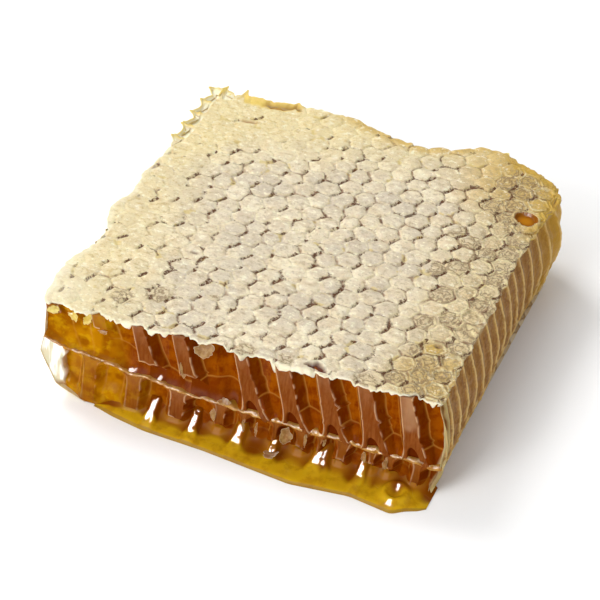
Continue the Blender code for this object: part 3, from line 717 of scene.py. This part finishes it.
def outer_walls(name, top_z, bottom_z, lower):
    """Fluted walls down one layer. Each cell's corner stands out along the path in a thin ridge and
    the wall falls back a little between. The whole wall swells outwards to the midrib, and the
    ridges slant to the back as they go down, half a cell out of step in the lower layer."""
    run, px, py, nx, ny = (v[:, None] for v in round_the_sides(1500))
    t = np.linspace(0, 1, 40)[None, :]
    top, bottom = top_z(px), bottom_z(px)
    z = top - (top - bottom) * t
    slant = 0.17 * np.minimum(25.0 - z, 17.0) - 0.12 * np.maximum(8.0 - z, 0.0) + 0.5 * PITCH * lower
    along_back = (px - FIRST_X + 0.2 * (25.0 - z)) / COLUMN + 0.5 * lower
    phase = np.where(np.abs(nx) > 0.75, (py - slant - FIRST_Y) / PITCH, along_back)
    fold = 2 * np.abs(phase % 1.0 - 0.5)
    from_front = step(-47.5, -44.0, py)
    upright = np.abs(nx) ** 2
    swell = np.where(nx > 0, right_end(z) - right_end(25.0), left_end(25.0) - left_end(z)) * upright
    swell = swell * np.where(nx < 0, 1 - 0.75 * step(-30.0, 10.0, py), 1.0)
    swell = swell + (1 - upright) * 0.5 * (right_end(z) - right_end(25.0))
    swell = swell + 0.7 * bump_at(np.hypot(px - 43.0, py - 37.0), 8.0) * bump_at(z - 19.0, 6.0)
    swell = swell - 0.8 * bump_at(np.hypot(px - 43.0, py - 34.0), 14.0) * step(13.0, 5.0, z)
    wander = 0.22 * hills(run + 0 * t, z * 0.4, 3.0, 60) + 0.08 * hills(run + 0 * t, z, 0.8, 61)
    flute = 0.75 * (fold - 1) + 0.28 * step(0.86, 1.0, fold)
    out = swell + (flute * step(0.0, 1.2, np.abs(z - midrib_z(px))) - 0.3 + wander) * from_front
    x = px + nx * out
    y = py + ny * out
    ridge = step(0.84, 0.96, fold) * step(-1.1, -0.3, hills(run + 0 * t, z, 2.0, 62))
    scallop = step(1.6, 0.6, 25.0 - z - 1.1 * (1 - fold) ** 2 + 0.3 * hills(run + 0 * t, z, 1.1, 64))
    right = step(20.0, 34.0, px) * step(0.2, 0.6, nx)
    corner_glow = bump_at(np.hypot(px - 41.0, py - 42.0), 12.0)
    border = step(-42.3, -44.2, py + 0.3 * hills(z, 0 * z, 2.0, 63)) * step(0, 20, px)
    return surface(name, x, y, z, ridge=np.clip(ridge, 0, 1), right=right + 0 * t, glow=corner_glow + 0 * t,
                   border=border, fold=fold, crust=scallop)


def wall_finish():
    """Thin old wax: brown at the right, pale yellow behind and at the left, with lighter ridges."""
    material, tree, wax = finish_of("outer_wall_wax")
    streaks = grain(tree, 0.7, 4.0, (1.0, 1.0, 4.0), 0.65)
    stipple = grain(tree, 0.6, 3.0)
    blotch = grain(tree, 3.0, 3.0)
    brown = blend(tree, ramp(tree, streaks, 0.35, 0.65), (0.25, 0.104, 0.016), (0.44, 0.218, 0.045))
    brown = blend(tree, ramp(tree, stipple, 0.50, 0.62, 0.0, 0.6), brown, (0.57, 0.345, 0.09))
    brown = blend(tree, ramp(tree, mark(tree, "fold"), 0.84, 0.60, 0.0, 0.5), brown, (0.18, 0.062, 0.010))
    brown = blend(tree, ramp(tree, mark(tree, "fold"), 0.30, 0.0, 0.0, 0.4), brown, (0.46, 0.26, 0.08))
    cream = blend(tree, ramp(tree, blotch, 0.35, 0.65), (0.66, 0.47, 0.20), (0.80, 0.66, 0.38))
    colour = blend(tree, mark(tree, "right"), cream, brown)
    colour = blend(tree, sums(tree, "MULTIPLY", mark(tree, "glow"), 0.95), colour, (0.55, 0.30, 0.012))
    colour = blend(tree, sums(tree, "MULTIPLY", mark(tree, "border"), 0.8), colour, (0.70, 0.58, 0.28))
    colour = blend(tree, sums(tree, "MULTIPLY", mark(tree, "crust"), 0.7), colour, (0.52, 0.40, 0.20))
    colour = blend(tree, sums(tree, "MULTIPLY", mark(tree, "ridge"), 0.85), colour, (0.72, 0.52, 0.22))
    feed(tree, wax.inputs["Base Color"], colour)
    feed(tree, wax.inputs["Roughness"], ramp(tree, blotch, 0.3, 0.7, 0.35, 0.6))
    wax.inputs["Specular IOR Level"].default_value = 0.1
    wax.inputs["Subsurface Weight"].default_value = 0.2
    wax.inputs["Subsurface Radius"].default_value = (0.0025, 0.0013, 0.0004)
    wax.inputs["Subsurface Scale"].default_value = 1.0
    feed(tree, wax.inputs["Normal"], relief(tree, sums(tree, "ADD", streaks, stipple), 0.25, 0.7))
    return material


wall_wax = wall_finish()
upper_walls = outer_walls("upper_outer_walls", lambda x: TOP - 0.4 + 0 * x, midrib_z, 0)
lower_walls = outer_walls("lower_outer_walls", midrib_z, lambda x: 0.2 + 0 * x, 1)
for wall, node in ((upper_walls, "comb_upper"), (lower_walls, "comb_lower")):
    wall.data.materials.append(wall_wax)
    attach(wall, "root")
    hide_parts(node)


# ---- Midrib ----
# Both layers of cells share one thin wax wall. The knife shows its edge as a pale crooked line.

def make_midrib():
    """A flat ribbon carried along the cut: a thin lens 4 mm deep whose front lip stands proud."""
    x, turn = np.meshgrid(np.linspace(-45.4, 45.7, 700), np.linspace(0, 1, 22), indexing="ij")
    angle = 2 * math.pi * turn
    z_wave = np.sin(angle)
    thick = 0.40 + 0.32 * step(-14.0, 4.0, x) + (0.18 + 0.20 * step(-14.0, 4.0, x)) * hills(x, 0 * x, 1.7, 81)
    ends = np.sqrt(np.clip(np.minimum(x + 45.4, 45.7 - x) / 0.4, 0, 1))
    depth = 1.9 - 2.05 * np.cos(angle)
    depth = depth + (0.20 * hills(x, z_wave, 0.9, 84) + 0.15 * hills(x, z_wave, 2.3, 85)) * (depth < 0.8) * ends
    z = midrib_z(x) + thick * ends * np.sin(angle)
    y = cut_y(x) + depth
    return surface("midrib_edge", x, y, z, weld=True, inward=True, edge=step(1.2, 0.2, depth))


def midrib_finish():
    """Pale tan wax at the cut edge, amber under honey behind it."""
    material, tree, wax = finish_of("midrib_wax")
    blotch = grain(tree, 1.3, 4.0)
    edge = blend(tree, ramp(tree, blotch, 0.35, 0.65), (0.36, 0.150, 0.018), (0.52, 0.27, 0.060))
    edge = blend(tree, ramp(tree, grain(tree, 1.9), 0.58, 0.68, 0.0, 0.7), edge, (0.68, 0.44, 0.18))
    colour = blend(tree, mark(tree, "edge"), (0.38, 0.18, 0.006), edge)
    feed(tree, wax.inputs["Base Color"], colour)
    wax.inputs["Roughness"].default_value = 0.3
    wax.inputs["Specular IOR Level"].default_value = 0.08
    wax.inputs["Subsurface Weight"].default_value = 0.2
    wax.inputs["Subsurface Radius"].default_value = (0.0015, 0.0008, 0.0003)
    wax.inputs["Subsurface Scale"].default_value = 1.0
    feed(tree, wax.inputs["Normal"], relief(tree, blotch, 0.3, 0.8))
    return material


midrib = make_midrib()
midrib.data.materials.append(midrib_finish())
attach(midrib, "root")
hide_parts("midrib")


# ---- Lower cappings ----
# The lids of the lower cells, pressed flat by the weight of the honey above them.

def make_underside():
    """The upper sheet's outline, turned over: a flat sheet with shallow seams between the lids."""
    v, u = np.meshgrid(np.linspace(0, 1, 150), np.linspace(0, 1, 140), indexing="ij")
    rough_y = cut_y(0) + v * 95.0
    start = left_end(0.1) - 7.0 * step(-30.0, 10.0, rough_y)
    x = start + u * (43.4 - start)
    y = cut_y(x) + 0.6 + v * (back_edge(x) - cut_y(x) - 1.6)
    column, row = lattice(x, y)
    inward = hexagon(column, row)[4]
    z = 0.02 + 0.35 * bump_at(inward, 0.5)
    return surface("lower_cappings", x, y, z, inward=True, u=column, v=row)


def underside_finish():
    """Flattened cream wax, darker along the seams."""
    material, tree, wax = finish_of("pressed_capping_wax")
    colour = blend(tree, ramp(tree, grain(tree, 3.0), 0.35, 0.65), (0.70, 0.56, 0.34), (0.82, 0.70, 0.48))
    inward, _, _, chance, _ = hexagon_nodes(tree)
    colour = blend(tree, ramp(tree, chance, 0.6, 1.0, 0.0, 0.5), colour, (0.55, 0.38, 0.18))
    colour = blend(tree, ramp(tree, inward, 0.4, 0.1, 0.0, 0.7), colour, (0.36, 0.20, 0.07))
    feed(tree, wax.inputs["Base Color"], colour)
    wax.inputs["Roughness"].default_value = 0.5
    feed(tree, wax.inputs["Normal"], relief(tree, grain(tree, 0.8, 4.0), 0.2, 0.6))
    return material


underside = make_underside()
underside.data.materials.append(underside_finish())
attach(underside, "root")
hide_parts("capping_bottom")


# ---- Honey pool ----
# Honey ran down the open cells and out over the surface: a round lip in front, and a curve that
# climbs the foot of the cut where the honey clings to the wax.

POOL_KNOTS_X = np.array([-33.0, -27.8, -19.8, -5.5, 8.2, 15.2, 28.2, 38.2, 40.6, 42.6, 43.8, 44.6])
POOL_KNOTS_Y = np.array([-48.1, -49.7, -51.2, -51.7, -53.1, -53.8, -51.9, -53.4, -51.3, -50.3, -49.7, -48.3])
RUNS_X = np.array([-19.7, -9.9, 0.4, 8.6, 19.1, 28.5])
RUNS_WIDE = np.array([1.6, 1.4, 1.5, 1.1, 2.4, 1.3])


def make_pool():
    """Across the pool, height rises as a quarter circle from the lip, stays low, then climbs the
    wax as a falling exponential of the distance to it, and ends hidden inside the comb. The climb
    is higher in the open cells, where the pool's surface reaches in behind the cut."""
    x, v = np.meshgrid(np.linspace(-33.0, 44.6, 520), np.linspace(0, 1, 84), indexing="ij")
    soften = np.hanning(25) / np.hanning(25).sum()
    lip = np.interp(x[:, 0], POOL_KNOTS_X, POOL_KNOTS_Y)
    lip = np.convolve(np.pad(lip, 12, mode="edge"), soften, "valid")[:, None]
    aside = np.min(np.abs(x[..., None] + 0.7 - lower_strips) - lower_halves, axis=-1)
    hollow = step(-0.3, 2.8, aside)
    wall = cut_y(x) + 0.15 + 2.0 * hollow
    y = lip + (cut_y(x) + 3.0 - lip) * v
    from_lip = y - lip
    body = 0.75 * np.sqrt(np.clip(1 - (1 - np.clip(from_lip / 1.5, 0, 1)) ** 2, 0, 1))
    gap = wall - y
    climb = (0.7 + 1.4 * hollow) * np.where(gap > 0, np.exp(-np.abs(gap) / 1.5), 1 - 0.6 * gap)
    sides = 0.7 * np.exp(-np.clip(aside, 0, 9) / 0.7) * step(-0.8, 0.6, -gap)
    climb = climb + sides * (gap < 6)
    before = cut_y(x) - 0.8 + 0.12 * hills(x, y, 1.0, 93) - y
    widths = RUNS_WIDE * (1.15 - 0.30 * np.exp(-np.clip(before, 0, 9) / 1.2))[..., None]
    drops = np.max(np.exp(-((x[..., None] - RUNS_X) / widths) ** 6), axis=-1)
    run = 2.2 * np.where(before > 0, np.exp(-np.abs(before) / 1.9), 1 - 0.3 * before)
    climb = climb + drops * (run - climb)
    ring = bump_at(np.hypot(x - 37.2, 0.9 * (y + 48.0)) - 2.3, 1.1)
    taper = step(-33.5, -29.0, x) * step(44.6, 42.6, x)
    z = 0.02 + (body + 0.10 * hills(x, y, 5.0, 90) + 1.2 * ring) * (0.15 + 0.85 * taper) + climb * taper
    z = np.where(v <= 0, 0.02, np.minimum(z, 5.0))
    reach = from_lip / (cut_y(x) - lip) + 0.13 * hills(x, y, 3.0, 91) - 0.25 * step(-12.0, -24.0, x)
    reach = reach + 0.22 * (hollow - 0.6)
    gloss = np.clip(step(0.1, 0.4, drops) + step(0.1, 0.4, ring) + 0.6 * step(2.5, 4.0, wall - y), 0, 1)
    gloss = gloss * step(0.8, 1.6, from_lip)
    return surface("honey_pool_surface", x, y, z, inward=True, reach=reach, hollow=hollow,
                   rim=step(1.1, 0.1, from_lip), gloss=gloss), gloss


def honey_finish(name, shine):
    """Clear golden honey over a pale surface: yellow where thin, amber where deep, with a painted reflection of the
    comb's cut face towards the comb.
    """
    material, tree, honey = finish_of(name)
    yellow = blend(tree, ramp(tree, grain(tree, 3.0, 4.0), 0.45, 0.65), (0.69, 0.405, 0.008), (0.55, 0.29, 0.005))
    # Painted reflection: amber towards the comb stands partly for deeper honey and partly for the cut face mirrored in
    # the pool, darker in front of the open cells and lighter in front of the strips.
    amber = blend(tree, mark(tree, "hollow"), (0.42, 0.160, 0.006), (0.25, 0.062, 0.0005))
    colour = blend(tree, ramp(tree, mark(tree, "reach"), 0.48, 0.80), yellow, amber)
    colour = blend(tree, ramp(tree, mark(tree, "rim"), 0.4, 1.0, 0.0, 0.75), colour, (0.30, 0.16, 0.03))
    feed(tree, honey.inputs["Base Color"], colour)
    feed(tree, honey.inputs["Roughness"], ramp(tree, mark(tree, "gloss"), 0.0, 1.0, 0.36, 0.03))
    honey.inputs["Specular IOR Level"].default_value = shine
    honey.inputs["Subsurface Weight"].default_value = 0.25
    honey.inputs["Subsurface Radius"].default_value = (0.004, 0.002, 0.0003)
    honey.inputs["Subsurface Scale"].default_value = 1.0
    return material


pool, pool_gloss = make_pool()
wet_where(pool, pool_gloss, honey_finish("clinging_honey", 0.006), honey_finish("running_honey", 0.10))
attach(pool, "root")
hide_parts("honey_pool")


# ---- Torn edge cells ----
# Along the back and the left the knife and fingers left the rims of half cells standing: thin,
# clear yellow walls that meet in sharp points between shallow bays.

def torn_rim(name, x, y, height, thick, phase, depth, salt):
    """A thin upright ribbon carried along the path x, y. Its outline bulges in bays: the outward
    offset is 1 - |sin| of the distance along the path, and the top edge follows the same curve."""
    run = np.concatenate([[0.0], np.cumsum(np.hypot(np.diff(x), np.diff(y)))])
    dx, dy = np.gradient(x), np.gradient(y)
    length = np.hypot(dx, dy)
    nx, ny = dy / length, -dx / length
    cusp = 1 - np.abs(np.sin(math.pi * (run - phase) / 5.6)) ** 0.8
    offset = depth * cusp + 0.25 * hills(run, 0 * run, 1.6, salt)
    angle = np.linspace(0, 2 * math.pi, 15)[None, :]
    ends = np.sin(math.pi * np.linspace(0, 1, len(x))).round(9)[:, None] ** 0.15
    tall = height * (0.8 + 0.35 * cusp + 0.3 * hills(run, 0 * run, 2.2, salt + 1))[:, None] * ends
    side = 0.5 * thick * (0.7 + 0.5 * cusp)[:, None] * np.cos(angle) * ends
    z = TOP - 0.55 - 0.5 * height + 0.5 * tall * np.sin(angle) + 0.35 * cusp[:, None]
    lean = 0.25 * (z - TOP)
    return surface(name, x[:, None] + nx[:, None] * (offset[:, None] + side + lean),
                   y[:, None] + ny[:, None] * (offset[:, None] + side + lean), z, weld=True, inward=True,
                   crest=np.broadcast_to(0.5 + 0.5 * np.sin(angle), z.shape))


def rim_finish():
    """Thin translucent yellow wax, paler at the torn crest."""
    material, tree, wax = finish_of("torn_rim_wax")
    blotch = grain(tree, 1.6, 4.0)
    colour = blend(tree, ramp(tree, blotch, 0.35, 0.65), (0.66, 0.42, 0.05), (0.84, 0.66, 0.18))
    colour = blend(tree, ramp(tree, mark(tree, "crest"), 0.75, 1.0, 0.0, 0.6), colour, (0.86, 0.74, 0.36))
    feed(tree, wax.inputs["Base Color"], colour)
    wax.inputs["Roughness"].default_value = 0.35
    wax.inputs["Specular IOR Level"].default_value = 0.15
    wax.inputs["Subsurface Weight"].default_value = 0.4
    wax.inputs["Subsurface Radius"].default_value = (0.002, 0.0014, 0.0005)
    wax.inputs["Subsurface Scale"].default_value = 1.0
    feed(tree, wax.inputs["Normal"], relief(tree, blotch, 0.2, 0.6))
    return material


rim_wax = rim_finish()
left_y = np.linspace(20.0, 45.8, 160)
back_x = np.linspace(-45.0, -37.5, 90)
ridge_x = np.linspace(-38.0, -22.5, 110)
loop_x = np.linspace(12.0, 33.0, 130)
for name, path_x, path_y, height, thick, phase, depth, salt in (
        ("left_torn_rim", -44.9 + 0 * left_y[::-1], left_y[::-1], 2.6, 0.3, 5.0, 1.5, 101),
        ("back_left_torn_rim", back_x[::-1], back_edge(back_x[::-1]) - 0.9, 2.4, 0.3, 3.0, 1.0, 103),
        ("back_ridge", ridge_x[::-1], back_edge(ridge_x[::-1]) + 0.2, 1.5, 0.8, 0.0, 0.15, 105),
        ("back_right_loops", loop_x[::-1], back_edge(loop_x[::-1]) - 0.3, 1.6, 0.40, 1.0, 0.8, 107)):
    rim = torn_rim(name, path_x, path_y, height, thick, phase, depth, salt)
    rim.data.materials.append(rim_wax)
    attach(rim, "root")


# ---- Flakes ----
# The knife left curled flakes of wax hanging on the cut and lying in the running honey.

def flake(name, place, size, curl, lean, turn, salt):
    """A curled leaf with rounded edges: an ellipse with a wavy outline, bent by curl times the
    square of its width; going out over the top and back underneath closes it."""
    round_, out = np.meshgrid(np.linspace(0, 2 * math.pi, 41), np.linspace(0, 1, 15), indexing="ij")
    reach = np.sin(math.pi * out) ** 0.7
    wave = 1 + 0.30 * hills(1.5 * np.cos(round_), 1.5 * np.sin(round_), 1.0, salt)
    wave = wave + 0.20 * hills(4.0 * np.cos(round_), 4.0 * np.sin(round_), 1.0, salt + 2)
    across, ahead = size[0] * reach * np.cos(round_) * wave, size[1] * reach * np.sin(round_) * wave
    up = curl * across ** 2 + size[2] * np.cos(math.pi * out) * (0.6 + 0.4 * (1 - reach))
    up = up + 0.12 * hills(across * 1.7, ahead * 1.7, 1.0, salt + 1)
    tip, spin = math.radians(lean), math.radians(turn)
    ahead, up = ahead * math.cos(tip) - up * math.sin(tip), ahead * math.sin(tip) + up * math.cos(tip)
    across, ahead = across * math.cos(spin) - ahead * math.sin(spin), across * math.sin(spin) + ahead * math.cos(spin)
    return surface(name, place[0] + across, place[1] + ahead, place[2] + up, weld=True, leaf=reach)


def flake_finish():
    """Pale tan wax, a little clear, with a wet sheen."""
    material, tree, wax = finish_of("loose_flake_wax")
    blotch = grain(tree, 1.1, 4.0)
    colour = blend(tree, ramp(tree, blotch, 0.35, 0.65), (0.27, 0.125, 0.035), (0.42, 0.24, 0.085))
    colour = blend(tree, ramp(tree, mark(tree, "leaf"), 0.90, 1.0, 0.0, 0.7), colour, (0.74, 0.54, 0.30))
    feed(tree, wax.inputs["Base Color"], colour)
    wax.inputs["Roughness"].default_value = 0.5
    wax.inputs["Specular IOR Level"].default_value = 0.08
    wax.inputs["Subsurface Weight"].default_value = 0.3
    wax.inputs["Subsurface Radius"].default_value = (0.002, 0.001, 0.0004)
    wax.inputs["Subsurface Scale"].default_value = 1.0
    feed(tree, wax.inputs["Normal"], relief(tree, blotch, 0.2, 0.7))
    return material


flake_wax = flake_finish()
for number, (x, z, forward, size, curl, lean, turn) in enumerate((
        (-3.2, 10.6, 0.5, (1.2, 0.9, 0.16), 0.25, 62, 12), (-5.6, 6.4, 0.5, (0.7, 1.5, 0.10), 0.30, 80, -20),
        (11.2, 6.0, 0.7, (1.3, 1.9, 0.10), 0.40, 76, 24), (8.6, 1.7, 3.2, (1.5, 1.0, 0.22), 0.20, 14, 30),
        (28.6, 5.8, 0.5, (0.5, 1.3, 0.10), 0.35, 84, -10), (33.4, 5.4, 0.5, (0.5, 1.4, 0.10), 0.4, 84, 14),
        (-13.0, 16.0, 0.3, (0.8, 1.9, 0.08), 0.35, 80, 30), (-8.6, 22.6, 0.2, (2.2, 1.9, 0.08), 0.10, 72, 10),
        (-31.5, 20.6, 0.4, (0.9, 0.45, 0.18), 0.30, 60, 0), (19.6, 6.8, 0.3, (0.4, 1.2, 0.08), 0.4, 82, 30),
        (40.8, 8.3, 0.4, (0.8, 0.35, 0.14), 0.3, 70, 0), (4.2, 5.0, 0.4, (0.4, 1.7, 0.08), 0.4, 82, -24),
        (1.2, 5.4, 0.5, (0.35, 1.5, 0.08), 0.4, 82, 30), (15.4, 6.2, 0.5, (0.35, 1.6, 0.08), 0.4, 84, -14),
        (-43.0, 23.3, 0.7, (1.3, 0.9, 0.08), 0.15, 78, 6), (-38.4, 22.8, 0.4, (1.4, 1.0, 0.10), 0.2, 70, -12),
        (-35.2, 22.9, 0.4, (0.9, 1.2, 0.10), 0.25, 74, 16))):
    leaf = flake("wax_flake_%d" % (number + 1), (x, float(cut_y(x)) - forward + 0.4, z), size, curl, lean, turn, 120 + number)
    leaf.data.materials.append(flake_wax if z < 22.7 else rim_wax)
    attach(leaf, "root")


# ---- Floor, light and camera ----
# A plain pale surface in an even white room, with one soft lamp high at the left, and a tall
# window in front that only shows as a highlight on wet honey.

def make_stage():
    """A flat square floor, its corners at plus and minus its half width."""
    half = 900.0
    x, y = np.meshgrid(np.array([-half, half]), np.array([-half, half]), indexing="xy")
    floor = surface("floor", x, y, 0 * x - 0.02)
    material, tree, paint = finish_of("pale_floor")
    paint.inputs["Base Color"].default_value = (0.92, 0.92, 0.92, 1.0)
    paint.inputs["Roughness"].default_value = 0.9
    floor.data.materials.append(material)
    return floor


def lamp(name, place, aim, width, height, power):
    """A flat lamp at place, facing aim."""
    light = bpy.data.lights.new(name, "AREA")
    light.shape = "RECTANGLE"
    light.size = width
    light.size_y = height
    light.energy = power
    holder = bpy.data.objects.new(name, light)
    holder.location = place
    holder.rotation_euler = (Vector(aim) - Vector(place)).to_track_quat("-Z", "Y").to_euler()
    bpy.context.scene.collection.objects.link(holder)
    return holder


make_stage()
room = bpy.data.worlds.new("room")
room.use_nodes = True
room.node_tree.nodes["Background"].inputs["Color"].default_value = (1.0, 1.0, 1.0, 1.0)
room.node_tree.nodes["Background"].inputs["Strength"].default_value = 0.55
bpy.context.scene.world = room
bpy.context.scene.view_settings.view_transform = "Standard"
lamp("high_left_lamp", (-0.45, 0.20, 0.62), (0.0, 0.0, 0.0), 0.30, 0.30, 3.15)
lamp("front_lamp", (-0.20, -0.66, 0.42), (0.0, -0.04, 0.0), 0.30, 0.30, 2.2)
window = lamp("front_window", (-0.175, -0.43, 0.56), (0.0, -0.04, 0.0), 0.28, 0.55, 92.0)
window.visible_diffuse = False

camera = bpy.data.cameras.new("camera")
camera.sensor_width = 36.0
camera.lens = 165.4
camera.clip_start = 0.01
holder = bpy.data.objects.new("camera", camera)
bpy.context.scene.collection.objects.link(holder)
AZIMUTH, ELEVATION, ROLL, DISTANCE = 18.475, 36.94, 4.808, 0.5984
aim = Vector((0.0042, -0.0235, 0.0250))
pose = Matrix.Rotation(math.radians(AZIMUTH), 4, "Z") @ Matrix.Rotation(math.radians(90 - ELEVATION), 4, "X")
pose = pose @ Matrix.Rotation(math.radians(ROLL), 4, "Z")
holder.matrix_world = Matrix.Translation(aim + pose.col[2].to_3d() * DISTANCE) @ pose
bpy.context.scene.camera = holder
